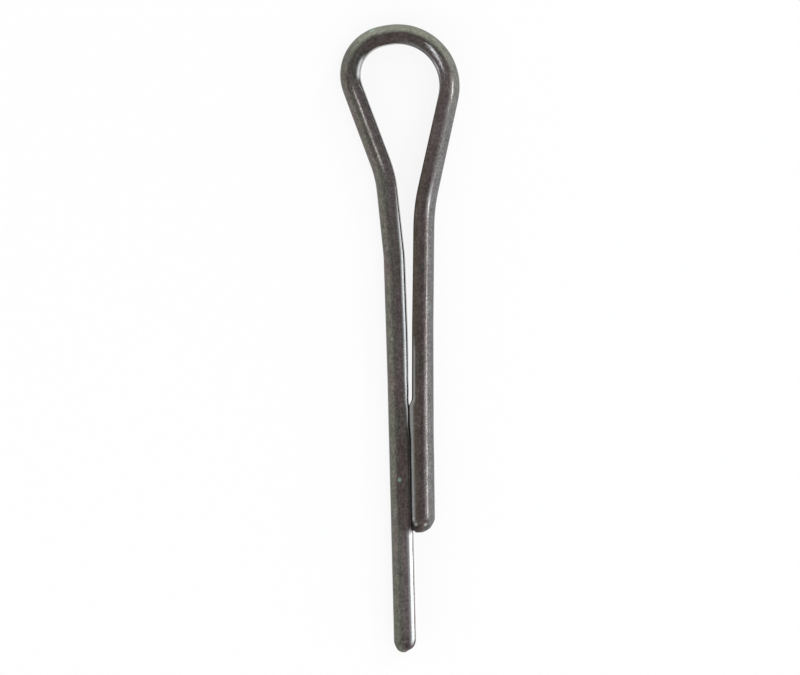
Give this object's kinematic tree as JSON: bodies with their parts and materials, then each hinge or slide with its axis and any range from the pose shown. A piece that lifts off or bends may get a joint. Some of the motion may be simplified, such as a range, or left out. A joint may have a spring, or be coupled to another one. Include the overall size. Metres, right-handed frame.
{
  "type": "cotter pin",
  "caption": "Split pin of half-round steel wire bent over a teardrop eye, with one leg longer than the other, for locking a drilled shaft or nut.",
  "frame": {"origin": "on the shank's axis, halfway along the stretch above the short tip where the two legs lie together", "axes": "+Y along the shank's axis towards the eye, +Z across the wire, square to the plane of the loop, +X from the long leg to the short leg; the pin lies on its side, so -Z is down"},
  "size_m": [0.0101, 0.0532, 0.0036],
  "materials": {
    "steel_wire": "dark drawn steel, semi-gloss"
  },
  "bodies": {
    "root": {"pin": "steel_wire"}
  },
  "joints": []
}
